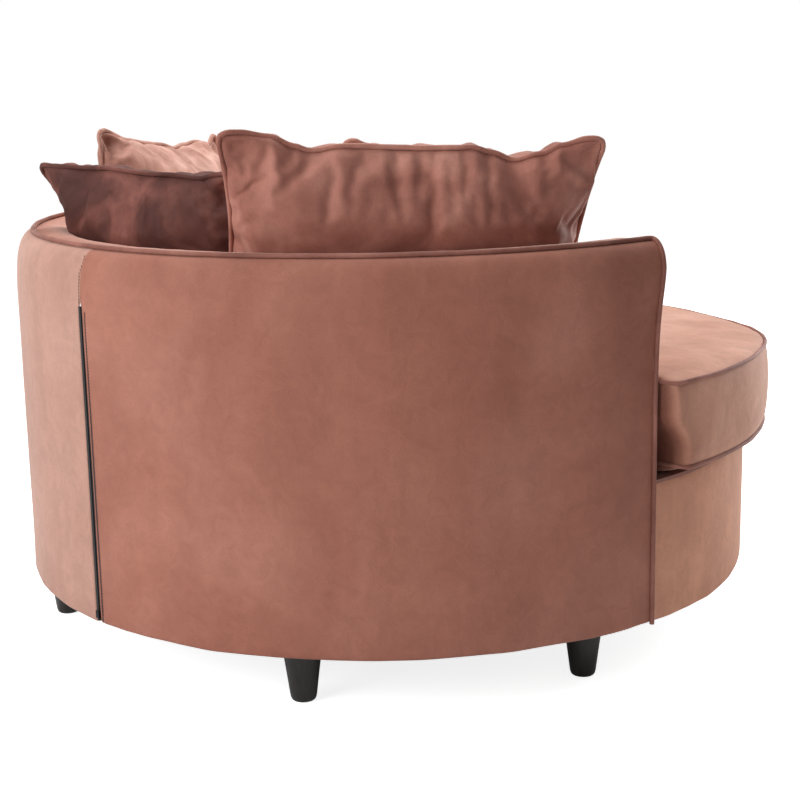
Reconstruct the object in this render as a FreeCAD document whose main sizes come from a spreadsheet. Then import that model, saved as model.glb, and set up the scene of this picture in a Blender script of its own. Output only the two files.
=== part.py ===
import FreeCAD, Part
import math
import os
import Sketcher
from FreeCAD import Placement, Rotation, Vector

# Round upholstered armchair. Millimetres, +Z up, front along -Y, back centre along +Y.
# Left and right are the sitter's own: the right arm is on -X.
os.makedirs("parts", exist_ok=True)
doc = FreeCAD.newDocument("round_armchair")

# Driving sizes
SIZES = {
    "foot_height": 100,
    "foot_top_radius": 32.5,
    "foot_bottom_radius": 19.5,
    "foot_edge": 4,
    "foot_circle_inset": 92,
    "rear_foot_step_out": 43,
    "stud_radius": 4,
    "stud_depth": 38,
    "stud_clearance": 0.2,
    "plate": 2.4,
    "plate_width": 56,
    "cloth": 1.6,
    "base_radius": 620,
    "shoulder_inset": 7,
    "shoulder_drop": 26,
    "rim_inset": 32,
    "rim_height": 671,
    "piping_radius": 4,
    "half_wrap": 84,
    "arm_front_depth": 15.6,
    "arm_front_gap": 0.25,
    "wall": 115,
    "inner_roll": 35,
    "frame_inset": 20,
    "board": 4,
    "ply": 18,
    "ring_width": 110,
    "rim_ring_drop": 21,
    "post_depth": 46,
    "post_width": 40,
    "post_inset": 3,
    "rail_width": 70,
    "rail_spacing": 190,
    "tape": 0.8,
    "tape_width": 15,
    "coil_width": 2.4,
    "coil_height": 2,
    "slit_half_width": 4,
    "slit_drop": 82,
    "slider_width": 7.2,
    "slider_length": 12,
    "slider_plate": 1.6,
    "slider_lip": 0.8,
    "slider_rest": 106,
    "running_gap": 0.3,
    "deck_height": 299,
    "deck_ring_width": 80,
    "webbing": 2,
    "webbing_width": 60,
    "webbing_pitch": 150,
    "webbing_inset": 84,
    "deck_pad": 13.6,
    "soft_gap": 0.4,
    "cushion_overhang": 30,
    "cushion_belly": 9,
    "cushion_crown_width": 120,
    "cushion_low_crown_width": 60,
    "cushion_wrap": 12,
    "cushion_low_edge": 18,
    "cushion_side": 132,
    "cushion_crown": 13,
    "cushion_wall_gap": 3,
    "dust_cloth_inset": 20,
    "pillows_made_for": 620,
}

# Sizes that follow the driving ones
FOLLOWING = {
    "foot_circle_radius": "=base_radius - foot_circle_inset",
    "shoulder_radius": "=base_radius - shoulder_inset",
    "shoulder_height": "=rim_height - shoulder_drop",
    "rim_radius": "=base_radius - rim_inset",
    "inner_radius": "=base_radius - wall",
    "frame_radius": "=base_radius - frame_inset",
    "slit_top": "=rim_height - slit_drop",
    "webbing_reach": "=base_radius - webbing_inset",
    "dust_cloth_radius": "=base_radius - dust_cloth_inset",
    "cushion_radius": "=base_radius + cushion_overhang",
    "cushion_plateau": "=cushion_radius - cushion_crown_width",
    "cushion_low_plateau": "=cushion_radius - cushion_low_crown_width",
    "axis_setback": "=(cushion_overhang + cushion_belly) / 2",
    "pillow_scale": "=base_radius / pillows_made_for",
}
sheet = doc.addObject("Spreadsheet::Sheet", "Sizes")
for row, (alias, amount) in enumerate((SIZES | FOLLOWING).items(), start=1):
    sheet.set(f"A{row}", alias)
    sheet.set(f"B{row}", str(amount))
    sheet.setAlias(f"B{row}", alias)
doc.recompute()

# Heights and radii worked out from the driving sizes
HEM_LOW = "(Sizes.foot_height + Sizes.plate - Sizes.cloth)"
HEM_TOP = "(Sizes.foot_height + Sizes.plate)"
BASE_RING_TOP = f"({HEM_TOP} + Sizes.ply)"
RIM_RING_TOP = "(Sizes.rim_height - Sizes.rim_ring_drop)"
RIM_RING_LOW = f"({RIM_RING_TOP} - Sizes.ply)"
SKIN_UNDER_RIM = "(Sizes.rim_height - Sizes.cloth)"
BOARD_RADIUS = "(Sizes.frame_radius + Sizes.board)"
RING_INNER = "(Sizes.frame_radius - Sizes.ring_width)"
POST_OUTER = "(Sizes.frame_radius - Sizes.post_inset)"
POST_INNER = f"({POST_OUTER} - Sizes.post_depth)"
LINING_RADIUS = f"({POST_INNER} - Sizes.post_inset)"
DECK_RING_INNER = f"({POST_INNER} - Sizes.deck_ring_width)"
DECK_RING_LOW = "(Sizes.deck_height - Sizes.ply)"
WEBBING_TOP = "(Sizes.deck_height + 2 * Sizes.webbing)"
DECK_TOP = f"({WEBBING_TOP} + Sizes.deck_pad)"
SKIN_BASE_RADIUS = "(Sizes.base_radius - Sizes.cloth)"
SKIN_SHOULDER_RADIUS = "(Sizes.shoulder_radius - Sizes.cloth)"
PAD_BASE_RADIUS = f"({SKIN_BASE_RADIUS} - Sizes.tape)"
TAPE_RADIUS = f"({SKIN_BASE_RADIUS} - Sizes.running_gap)"
PAD_SHOULDER_RADIUS = f"({SKIN_SHOULDER_RADIUS} - Sizes.tape)"
PIPING_INNER = "(Sizes.rim_radius - Sizes.piping_radius / 2)"
PIPING_OUTER = "(Sizes.rim_radius + Sizes.piping_radius / 2)"
PIPING_FLAT = "(Sizes.piping_radius * sqrt(3) / 2)"
LINER_RADIUS = "(Sizes.inner_radius + Sizes.cloth)"
ARM_FRONT_TURN = "(Sizes.arm_front_depth / Sizes.base_radius * 180 / pi)"
OUTER_WRAP = f"(Sizes.half_wrap + {ARM_FRONT_TURN})"
ARM_END_DEPTH = f"(Sizes.arm_front_depth + 2 * {PIPING_FLAT})"
ARM_PIPING_TURN = f"(({ARM_END_DEPTH} + 1) / Sizes.base_radius * 180 / pi)"
FRONT_HALF_WRAP = "(180 - Sizes.half_wrap)"
FRONT_COVER_HALF_WRAP = f"(180 - Sizes.half_wrap - {ARM_PIPING_TURN})"
CUSHION_LOW = f"({DECK_TOP} + Sizes.soft_gap)"
CUSHION_EDGE_LOW = f"({CUSHION_LOW} + Sizes.cushion_low_edge)"
CUSHION_EDGE_HIGH = f"({CUSHION_EDGE_LOW} + Sizes.cushion_side)"
CUSHION_BELLY_HEIGHT = f"({CUSHION_EDGE_LOW} + Sizes.cushion_side * 0.55)"
CUSHION_TOP = f"({CUSHION_EDGE_HIGH} + Sizes.cushion_crown)"
CUSHION_REAR = "(Sizes.inner_radius - Sizes.cushion_wall_gap)"
CUSHION_NOTCH_TURN = f"(({ARM_END_DEPTH} + Sizes.cushion_wall_gap) / Sizes.rim_radius * 180 / pi)"
CUSHION_NOTCH = f"(Sizes.half_wrap + {CUSHION_NOTCH_TURN})"

BACK = 90
FRONT = -90
nodes = []


def amount(expression):
    """The value of an expression of the sheet, as a plain number."""
    return float(sheet.evalExpression(expression.replace("Sizes.", "")))


def origin_plane(body, role):
    return next(item for item in body.Origin.OriginFeatures if item.Role == role)


def place(piece, turn=0, lift=0, shift=(0, 0)):
    """Stands a piece on the chair's own axis, turned about it."""
    spot = Rotation(Vector(0, 0, 1), turn).multVec(Vector(shift[0], shift[1], lift))
    spot.y += amount("Sizes.axis_setback")
    piece.Placement = Placement(spot, Rotation(Vector(0, 0, 1), turn))


def keep(piece, label):
    piece.Label = label
    nodes.append(piece)
    return piece


def new_body(label):
    body = doc.addObject("PartDesign::Body", label)
    return keep(body, label)


HIDDEN_STEPS = 2
SHOWN_STEPS = 3


def quarter_round(start, end, steps):
    """Points on the quarter ellipse that leaves start upright and reaches end level."""
    points = []
    for step in range(1, steps):
        turn = math.pi / 2 * step / steps
        across = f"({start[0]} + ({end[0]} - {start[0]}) * {1 - math.cos(turn):.6f})"
        up = f"({start[1]} + ({end[1]} - {start[1]}) * {math.sin(turn):.6f})"
        points.append((across, up))
    return points


def draw(body, plane, corners, lift=None):
    """A closed sketch through corners given as expressions of the sheet."""
    sketch = body.newObject("Sketcher::SketchObject", f"{body.Name}_outline")
    sketch.AttachmentSupport = [(origin_plane(body, plane), "")]
    sketch.MapMode = "FlatFace"
    if lift:
        sketch.setExpression("AttachmentOffset.Base.z", lift)
    points = [Vector(amount(across), amount(up), 0) for across, up in corners]
    count = len(points)
    for edge in range(count):
        sketch.addGeometry(Part.LineSegment(points[edge], points[(edge + 1) % count]), False)
    for edge in range(count):
        sketch.addConstraint(Sketcher.Constraint("Coincident", edge, 2, (edge + 1) % count, 1))
        for axis, name in enumerate(("DistanceX", "DistanceY")):
            row = sketch.addConstraint(Sketcher.Constraint(name, edge, 1, points[edge][axis]))
            sketch.setExpression(f"Constraints[{row}]", corners[edge][axis])
    return sketch


def turn_profile(body, kind, profile, half_wrap=None, one_way=0):
    """A revolved feature about the body's Z axis: all round, both ways from its XZ plane, or one way."""
    feature = body.newObject(f"PartDesign::{kind}", f"{body.Name}_{kind}")
    feature.Profile = profile
    feature.ReferenceAxis = (profile, ["V_Axis"])
    if half_wrap is None:
        feature.Angle = 360
    elif one_way:
        feature.setExpression("Angle", half_wrap)
        feature.Reversed = one_way < 0
    else:
        feature.Midplane = True
        feature.setExpression("Angle", f"2 * {half_wrap}")
    body.Tip = feature
    return feature


def turned(label, corners, half_wrap=None, facing=BACK, one_way=0):
    body = new_body(label)
    profile = draw(body, "XZ_Plane", corners)
    turn_profile(body, "Revolution", profile, half_wrap, one_way)
    place(body, facing)
    return body


def pad(body, sketch, length, backwards=False):
    feature = body.newObject("PartDesign::Pad", f"{body.Name}_pad")
    feature.Profile = sketch
    feature.setExpression("Length", length)
    feature.Reversed = backwards
    body.Tip = feature
    return feature


def pocket(body, sketch, length, backwards=False):
    feature = body.newObject("PartDesign::Pocket", f"{body.Name}_pocket")
    feature.Profile = sketch
    feature.setExpression("Length", length)
    feature.Reversed = backwards
    body.Tip = feature
    return feature


def rectangle(low_across, high_across, low_up, high_up):
    return [
        (low_across, low_up),
        (high_across, low_up),
        (high_across, high_up),
        (low_across, high_up),
    ]


# Six feet and the plates that carry them, each plate with its stud
FOOT_TURNS = {
    "foot_back_left": -34.6,
    "foot_back_right": 31.8,
    "foot_side_left": -83.6,
    "foot_side_right": 80.4,
    "foot_front_left": -148.6,
    "foot_front_right": 145.4,
}
FOOT_FLATS = 20
STUD_FLATS = 12


def many_sided(stations, flats):
    """A solid through level many-sided rings, each given by its radius and height."""
    count = round(flats)
    turns = [2 * math.pi * flat / count for flat in range(count)]
    rings = []
    for radius, height in stations:
        rings.append([Vector(radius * math.cos(turn), radius * math.sin(turn), height) for turn in turns])
    faces = [Part.Face(Part.makePolygon(ring + ring[:1])) for ring in (rings[0], rings[-1])]
    for lower, upper in zip(rings, rings[1:]):
        for flat in range(count):
            following = (flat + 1) % count
            corners = [lower[flat], lower[following], upper[following], upper[flat], lower[flat]]
            faces.append(Part.Face(Part.makePolygon(corners)))
    return Part.Solid(Part.Shell(faces))


def foot_circle(label):
    """Distance of a foot from the chair's axis. The left foot at the back stands further out."""
    step_out = amount("Sizes.rear_foot_step_out") if label == "foot_back_left" else 0
    return amount("Sizes.foot_circle_radius") + step_out


def foot(label, turn):
    """A tapered round leg with a small bevel underneath and a blind hole for the stud."""
    sole = amount("Sizes.foot_bottom_radius")
    edge = amount("Sizes.foot_edge")
    top = amount("Sizes.foot_height")
    deep = amount("Sizes.stud_depth")
    hole_radius = amount("Sizes.stud_radius + Sizes.stud_clearance")
    stations = [(sole - edge, 0), (sole, edge), (amount("Sizes.foot_top_radius"), top)]
    leg = many_sided(stations, FOOT_FLATS)
    hole = many_sided([(hole_radius, top - deep), (hole_radius, top)], STUD_FLATS)
    piece = keep(doc.addObject("Part::Feature", label), label)
    piece.Shape = leg.cut(hole)
    place(piece, BACK + turn, shift=(foot_circle(label), 0))


def at_each_foot(one):
    """Copies of a shape over the six feet."""
    copies = []
    for label, turn in FOOT_TURNS.items():
        copy = one.copy()
        facing = Rotation(Vector(0, 0, 1), BACK + turn)
        copy.Placement = Placement(facing.multVec(Vector(foot_circle(label), 0, 0)), facing)
        copies.append(copy)
    return Part.makeCompound(copies)


def foot_plates():
    """Square steel plates between the feet and the base ring. Their studs go down into the feet."""
    low = amount("Sizes.foot_height")
    wide = amount("Sizes.plate_width")
    thick = amount("Sizes.plate")
    stud_low = low - amount("Sizes.stud_depth - Sizes.stud_clearance")
    stud_radius = amount("Sizes.stud_radius")
    plate = Part.makeBox(wide, wide, thick, Vector(-wide / 2, -wide / 2, low))
    one = plate.fuse(many_sided([(stud_radius, stud_low), (stud_radius, low)], STUD_FLATS))
    piece = keep(doc.addObject("Part::Feature", "foot_plates"), "foot_plates")
    piece.Shape = at_each_foot(one)
    place(piece)


# Plywood and timber inside the base and the wall
RING_SEGMENTS = 12


def segmented_ring(label, inner, low, top):
    """A plywood ring of joined segments, cut round outside and left straight-sided inside."""
    body = turned(label, rectangle("0", "Sizes.frame_radius", low, top))
    reach = 1 / math.cos(math.pi / RING_SEGMENTS)
    corners = []
    for number in range(RING_SEGMENTS):
        turn = 2 * math.pi * number / RING_SEGMENTS
        corners.append(
            (f"{inner} * {reach * math.cos(turn):.6f}", f"{inner} * {reach * math.sin(turn):.6f}")
        )
    pocket(body, draw(body, "XY_Plane", corners, lift=top), "Sizes.ply")
    return body


def base_ring():
    segmented_ring("base_ring", RING_INNER, HEM_TOP, BASE_RING_TOP)


def base_rail(label, side):
    """A flat rail across the base ring, as long as the posts let it be."""
    body = new_body(label)
    near = "(Sizes.rail_spacing - Sizes.rail_width / 2)"
    far = "(Sizes.rail_spacing + Sizes.rail_width / 2)"
    half = f"sqrt({POST_INNER} ^ 2 - {far} ^ 2)"
    outline = rectangle(f"-{half}", half, near, far)
    pad(body, draw(body, "XY_Plane", outline, lift=BASE_RING_TOP), "Sizes.ply")
    place(body, side)


def post(label, turn, top):
    body = new_body(label)
    outline = rectangle(POST_INNER, POST_OUTER, "-Sizes.post_width / 2", "Sizes.post_width / 2")
    pad(body, draw(body, "XY_Plane", outline, lift=BASE_RING_TOP), f"{top} - {BASE_RING_TOP}")
    place(body, BACK + turn)


BACK_POST_TURNS = (14, 46, 80)
FRONT_POST_TURNS = (108, 147)


def posts():
    for number, turn in enumerate(BACK_POST_TURNS, start=1):
        post(f"back_post_left_{number}", -turn, RIM_RING_LOW)
        post(f"back_post_right_{number}", turn, RIM_RING_LOW)
    for number, turn in enumerate(FRONT_POST_TURNS, start=1):
        post(f"front_post_left_{number}", -turn, DECK_RING_LOW)
        post(f"front_post_right_{number}", turn, DECK_RING_LOW)


def rim_ring():
    turned(
        "rim_ring",
        rectangle(LINING_RADIUS, "Sizes.frame_radius", RIM_RING_LOW, RIM_RING_TOP),
        "Sizes.half_wrap",
    )


def deck_ring():
    """The ring that carries the webbing, inside the posts at the back and out to the board in front."""
    body = segmented_ring("deck_ring", DECK_RING_INNER, DECK_RING_LOW, "Sizes.deck_height")
    outside = rectangle(POST_INNER, "Sizes.base_radius", "Sizes.foot_height", "Sizes.rim_height")
    turn_profile(body, "Groove", draw(body, "XZ_Plane", outside), "Sizes.half_wrap")


def curved_boards():
    turned(
        "outer_board",
        rectangle("Sizes.frame_radius", BOARD_RADIUS, HEM_TOP, RIM_RING_TOP),
        "Sizes.half_wrap",
    )
    turned(
        "front_board",
        rectangle("Sizes.frame_radius", BOARD_RADIUS, HEM_TOP, "Sizes.deck_height"),
        FRONT_HALF_WRAP,
        FRONT,
    )


# Seat deck: webbing both ways under a pad with its cloth
def webbing(label, low, turn):
    width = amount("Sizes.webbing_width")
    thick = amount("Sizes.webbing")
    reach = amount("Sizes.webbing_reach")
    pitch = amount("Sizes.webbing_pitch")
    count = int((reach - width) // pitch)
    straps = []
    for step in range(-count, count + 1):
        middle = step * pitch
        half = math.sqrt(reach**2 - (abs(middle) + width / 2) ** 2)
        strap = Part.makeBox(2 * half, width, thick, Vector(-half, middle - width / 2, amount(low)))
        straps.append(strap)
    shape = Part.makeCompound(straps)
    piece = keep(doc.addObject("Part::Feature", label), label)
    piece.Shape = shape
    place(piece, turn)


def notched(label, corners, rear_radius, front_radius, notch_wrap):
    """A full turn whose rear is cut back to rear_radius, where it goes between the arms."""
    body = turned(label, corners)
    outside = rectangle(rear_radius, f"{front_radius} + 20", "Sizes.foot_height", "Sizes.rim_height")
    turn_profile(body, "Groove", draw(body, "XZ_Plane", outside), notch_wrap)
    return body


def deck_pad():
    notched(
        "deck_pad",
        rectangle("0", SKIN_BASE_RADIUS, WEBBING_TOP, DECK_TOP),
        LINING_RADIUS,
        SKIN_BASE_RADIUS,
        "Sizes.half_wrap",
    )


# Foam and wadding
PAD_SHOULDER = (PAD_SHOULDER_RADIUS, "Sizes.shoulder_height")
SKIN_SHOULDER = (SKIN_SHOULDER_RADIUS, "Sizes.shoulder_height")
COVER_SHOULDER = ("Sizes.shoulder_radius", "Sizes.shoulder_height")
PAD_ROUNDING = quarter_round(PAD_SHOULDER, (PIPING_INNER, SKIN_UNDER_RIM), HIDDEN_STEPS)
SKIN_ROUNDING = quarter_round(SKIN_SHOULDER, (PIPING_OUTER, SKIN_UNDER_RIM), HIDDEN_STEPS)
COVER_ROUNDING = quarter_round(COVER_SHOULDER, (PIPING_OUTER, "Sizes.rim_height"), SHOWN_STEPS)
ROLL_LOW = "(Sizes.rim_height - Sizes.inner_roll)"
ROLL_END = "(Sizes.inner_radius + Sizes.inner_roll)"
LINER_ROLL = [
    (LINER_RADIUS, ROLL_LOW),
    *quarter_round((LINER_RADIUS, ROLL_LOW), (ROLL_END, SKIN_UNDER_RIM), HIDDEN_STEPS),
    (ROLL_END, SKIN_UNDER_RIM),
]
COVER_ROLL = [
    ("Sizes.inner_radius", ROLL_LOW),
    *quarter_round(("Sizes.inner_radius", ROLL_LOW), (ROLL_END, "Sizes.rim_height"), SHOWN_STEPS),
    (ROLL_END, "Sizes.rim_height"),
]


def inner_foam():
    """The pad on the inside of back and arms, which rolls over the top of the frame."""
    turned(
        "inner_foam",
        [
            (LINING_RADIUS, RIM_RING_TOP),
            (LINING_RADIUS, DECK_TOP),
            (LINER_RADIUS, DECK_TOP),
            *LINER_ROLL,
            (PIPING_INNER, SKIN_UNDER_RIM),
            (PIPING_INNER, RIM_RING_TOP),
        ],
        "Sizes.half_wrap",
    )


def outer_wadding():
    turned(
        "outer_wadding",
        [
            (BOARD_RADIUS, HEM_TOP),
            (PAD_BASE_RADIUS, HEM_TOP),
            (PAD_BASE_RADIUS, "Sizes.slit_top"),
            PAD_SHOULDER,
            *PAD_ROUNDING,
            (PIPING_INNER, SKIN_UNDER_RIM),
            (PIPING_INNER, RIM_RING_TOP),
            (BOARD_RADIUS, RIM_RING_TOP),
        ],
        "Sizes.half_wrap",
    )


def front_wadding():
    turned(
        "front_wadding",
        rectangle(BOARD_RADIUS, PAD_BASE_RADIUS, HEM_TOP, WEBBING_TOP),
        FRONT_HALF_WRAP,
        FRONT,
    )


# Covers
CLOTH_FLATS = 30


def inner_cover():
    turned(
        "inner_cover",
        [
            (LINER_RADIUS, DECK_TOP),
            ("Sizes.inner_radius", DECK_TOP),
            *COVER_ROLL,
            (PIPING_INNER, "Sizes.rim_height"),
            (PIPING_INNER, SKIN_UNDER_RIM),
            *reversed(LINER_ROLL),
        ],
        "Sizes.half_wrap",
    )


def outside_back(label, way):
    """Half of the outside cover. Its hem turns under the base, and its centre edge leaves the zip bare."""
    body = turned(
        label,
        [
            (BOARD_RADIUS, HEM_LOW),
            ("Sizes.base_radius", HEM_LOW),
            ("Sizes.base_radius", "Sizes.slit_top"),
            COVER_SHOULDER,
            *COVER_ROUNDING,
            (PIPING_OUTER, "Sizes.rim_height"),
            (PIPING_OUTER, SKIN_UNDER_RIM),
            *reversed(SKIN_ROUNDING),
            SKIN_SHOULDER,
            (SKIN_BASE_RADIUS, "Sizes.slit_top"),
            (SKIN_BASE_RADIUS, HEM_TOP),
            (BOARD_RADIUS, HEM_TOP),
        ],
        OUTER_WRAP,
        one_way=way,
    )
    slit = rectangle("Sizes.inner_radius", "Sizes.base_radius + 10", "0", "Sizes.slit_top")
    pocket(body, draw(body, "XZ_Plane", slit), "Sizes.slit_half_width", way < 0)


def front_cover():
    turned(
        "front_cover",
        rectangle(SKIN_BASE_RADIUS, "Sizes.base_radius", HEM_LOW, DECK_TOP),
        FRONT_COVER_HALF_WRAP,
        FRONT,
    )


def arm_front(side_name, way):
    """The pad and the cover that close the end of an arm above the seat deck."""
    pad_depth = "(Sizes.arm_front_depth - Sizes.cloth)"
    turn = BACK + way * amount("Sizes.half_wrap")
    pad_outline = [
        (PAD_BASE_RADIUS, DECK_TOP),
        (PAD_BASE_RADIUS, "Sizes.slit_top"),
        PAD_SHOULDER,
        *PAD_ROUNDING,
        (PIPING_INNER, SKIN_UNDER_RIM),
        *reversed(LINER_ROLL),
        (LINER_RADIUS, DECK_TOP),
    ]
    filling = new_body(f"arm_front_pad_{side_name}")
    pad(filling, draw(filling, "XZ_Plane", pad_outline), pad_depth, way > 0)
    place(filling, turn)

    skin_side = [
        (SKIN_BASE_RADIUS, DECK_TOP),
        (SKIN_BASE_RADIUS, "Sizes.slit_top"),
        SKIN_SHOULDER,
        *SKIN_ROUNDING,
        (PIPING_OUTER, SKIN_UNDER_RIM),
    ]
    cover_outline = [
        *[(f"({radius} - Sizes.arm_front_gap)", height) for radius, height in skin_side],
        (f"({PIPING_INNER} - Sizes.arm_front_gap)", "Sizes.rim_height"),
        *reversed(COVER_ROLL),
        ("Sizes.inner_radius", DECK_TOP),
    ]
    cover = new_body(f"arm_front_cover_{side_name}")
    pad(cover, draw(cover, "XZ_Plane", cover_outline), "Sizes.arm_front_depth", way > 0)
    pocket(cover, draw(cover, "XZ_Plane", pad_outline), pad_depth, way < 0)
    place(cover, turn)


def hexagon(radius, height, size):
    """Corners of a six-sided piping section that lies on a flat side."""
    flat = f"({size} * sqrt(3) / 2)"
    return [
        (f"{radius} - {size} / 2", f"{height} - {flat}"),
        (f"{radius} + {size} / 2", f"{height} - {flat}"),
        (f"{radius} + {size}", height),
        (f"{radius} + {size} / 2", f"{height} + {flat}"),
        (f"{radius} - {size} / 2", f"{height} + {flat}"),
        (f"{radius} - {size}", height),
    ]


def rim_piping():
    turned(
        "rim_piping",
        hexagon("Sizes.rim_radius", f"(Sizes.rim_height + {PIPING_FLAT})", "Sizes.piping_radius"),
        OUTER_WRAP,
    )


def arm_piping(side_name, way):
    """The cord down the outer edge of an arm's front, from the rim to the hem."""
    body = new_body(f"arm_piping_{side_name}")
    centre = f"({way} * (Sizes.arm_front_depth + {PIPING_FLAT}))"
    stations = [
        (f"{SKIN_BASE_RADIUS} + Sizes.piping_radius", HEM_LOW),
        (f"{SKIN_BASE_RADIUS} + Sizes.piping_radius", "Sizes.slit_top"),
        (f"{SKIN_SHOULDER_RADIUS} + Sizes.piping_radius", "Sizes.shoulder_height"),
        ("Sizes.rim_radius + Sizes.piping_radius * 2", "Sizes.rim_height"),
    ]
    drawn = []
    for radius, height in stations:
        section = hexagon(f"({radius})", centre, "Sizes.piping_radius")
        drawn.append(draw(body, "XY_Plane", section, lift=height))
    loft = body.newObject("PartDesign::AdditiveLoft", f"{body.Name}_loft")
    loft.Profile = drawn[0]
    loft.Sections = drawn[1:]
    loft.Ruled = True
    body.Tip = loft
    place(body, BACK + way * amount("Sizes.half_wrap"))


def dust_cloth():
    """Thin cloth under the base, cut straight between its staples and out round the foot plates."""
    radius = amount("Sizes.dust_cloth_radius")
    low = amount(HEM_LOW)
    wide = amount("Sizes.plate_width + 2 * Sizes.soft_gap")
    window = Part.makeBox(wide, wide, 2 * amount("Sizes.cloth"), Vector(-wide / 2, -wide / 2, low))
    whole = many_sided([(radius, low), (radius, amount(HEM_TOP))], CLOTH_FLATS)
    piece = keep(doc.addObject("Part::Feature", "dust_cloth"), "dust_cloth")
    piece.Shape = whole.cut(at_each_foot(window))
    place(piece)


# The zip down the back centre
def zip_side(label, way):
    """One zip tape with its row of teeth as a plain bead along the centre edge."""
    body = turned(
        label,
        rectangle(PAD_BASE_RADIUS, TAPE_RADIUS, HEM_TOP, "Sizes.slit_top"),
        "(Sizes.tape_width / Sizes.base_radius * 180 / pi)",
        one_way=way,
    )
    bead = rectangle(TAPE_RADIUS, f"{TAPE_RADIUS} + Sizes.coil_height", HEM_TOP, "Sizes.slit_top")
    turn_profile(
        body,
        "Revolution",
        draw(body, "XZ_Plane", bead),
        "(Sizes.coil_width / Sizes.base_radius * 180 / pi)",
        way,
    )


def zip_slider():
    """A slider without a pull. Its lips reach round the teeth."""
    body = new_body("zip_slider")
    low = f"({TAPE_RADIUS} + Sizes.running_gap)"
    front = f"({TAPE_RADIUS} + Sizes.coil_height + Sizes.running_gap)"
    half = "(Sizes.slider_width / 2)"
    lip = f"({half} - Sizes.slider_lip)"
    outline = [
        (low, f"-{half}"),
        (f"{front} + Sizes.slider_plate", f"-{half}"),
        (f"{front} + Sizes.slider_plate", half),
        (low, half),
        (low, lip),
        (front, lip),
        (front, f"-{lip}"),
        (low, f"-{lip}"),
    ]
    pad(body, draw(body, "XY_Plane", outline, lift="Sizes.slider_rest"), "Sizes.slider_length")
    place(body, BACK)


# The loose seat cushion
def seat_cushion():
    """A foam slab in a cover with its fibre wrap: crowned top, bellied side, underside drawn up."""
    notch_margin = "(Sizes.cushion_wrap / Sizes.inner_radius * 180 / pi)"
    foam = notched(
        "seat_cushion_foam",
        rectangle(
            "0",
            "(Sizes.cushion_radius - Sizes.cushion_wrap)",
            f"({CUSHION_EDGE_LOW} + Sizes.cloth)",
            f"({CUSHION_EDGE_HIGH} - Sizes.cloth)",
        ),
        f"({CUSHION_REAR} - Sizes.cushion_wrap)",
        "Sizes.cushion_radius",
        f"({CUSHION_NOTCH} + {notch_margin})",
    )
    outer = notched(
        "seat_cushion_form",
        [
            ("0", CUSHION_LOW),
            ("Sizes.cushion_low_plateau", CUSHION_LOW),
            ("Sizes.cushion_radius", CUSHION_EDGE_LOW),
            ("Sizes.cushion_radius + Sizes.cushion_belly", CUSHION_BELLY_HEIGHT),
            ("Sizes.cushion_radius", CUSHION_EDGE_HIGH),
            ("Sizes.cushion_plateau", CUSHION_TOP),
            ("0", CUSHION_TOP),
        ],
        CUSHION_REAR,
        "(Sizes.cushion_radius + Sizes.cushion_belly)",
        CUSHION_NOTCH,
    )
    nodes.remove(outer)
    cover = keep(doc.addObject("Part::Cut", "seat_cushion_cover"), "seat_cushion_cover")
    cover.Base = outer
    cover.Tool = foam


# Scatter pillows, standing on the seat cushion. Each is set by the way it faces, how far its top edge
# stands off the wall, its shift along that edge, its lean, its roll and its own size.
PILLOWS = {
    "pillow_right": dict(
        faces=51.9, off=0, along=-11, lean=29, roll=2.4, width=549, tall=385, thick=148
    ),
    "pillow_back": dict(
        faces=5, off=53, along=-119, lean=33, roll=-0.9, width=450, tall=348, thick=122
    ),
    "pillow_left": dict(
        faces=-71.5, off=59, along=31, lean=5, roll=-4, width=360, tall=325, thick=124
    ),
    "pillow_middle": dict(
        faces=58, off=163, along=48, lean=29, roll=5, width=400, tall=350, thick=120
    ),
}
PILLOW_EDGE = 5
PILLOW_DRAW_IN = 16
PILLOW_FULLER = 4


def crowned_prism(span, half_thick, length):
    """Two arcs with short blunt ends, span long, drawn across and pushed along Z by the length."""
    low, high, edge = -span / 2, span / 2, PILLOW_EDGE
    front = Part.Arc(Vector(low, -edge, 0), Vector(0, -half_thick, 0), Vector(high, -edge, 0))
    back = Part.Arc(Vector(high, edge, 0), Vector(0, half_thick, 0), Vector(low, edge, 0))
    right = Part.LineSegment(Vector(high, -edge, 0), Vector(high, edge, 0))
    left = Part.LineSegment(Vector(low, edge, 0), Vector(low, -edge, 0))
    face = Part.Face(Part.Wire([front.toShape(), right.toShape(), back.toShape(), left.toShape()]))
    face.translate(Vector(0, 0, -length / 2))
    return face.extrude(Vector(0, 0, length))


def drawn_in_outline(width, tall, depth):
    """The pillow's front view: four corners joined by edges that curve inwards."""
    half, up, draw_in = width / 2, tall / 2, PILLOW_DRAW_IN
    corners = [Vector(-half, 0, -up), Vector(half, 0, -up), Vector(half, 0, up), Vector(-half, 0, up)]
    inward = [Vector(0, 0, draw_in), Vector(-draw_in, 0, 0), Vector(0, 0, -draw_in), Vector(draw_in, 0, 0)]
    edges = []
    for number in range(4):
        start, end = corners[number], corners[(number + 1) % 4]
        middle = (start + end) * 0.5 + inward[number]
        edges.append(Part.Arc(start, middle, end).toShape())
    face = Part.Face(Part.Wire(edges))
    face.translate(Vector(0, -depth, 0))
    return face.extrude(Vector(0, 2 * depth, 0))


def pillow_form(width, tall, thick):
    """Crowned across its width and, a little fuller, across its height, with drawn-in sides."""
    across = crowned_prism(width, thick / 2, tall)
    upright = crowned_prism(tall, thick / 2 + PILLOW_FULLER, width)
    upright.rotate(Vector(0, 0, 0), Vector(0, 1, 0), 90)
    return across.common(upright).common(drawn_in_outline(width, tall, thick))


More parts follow.
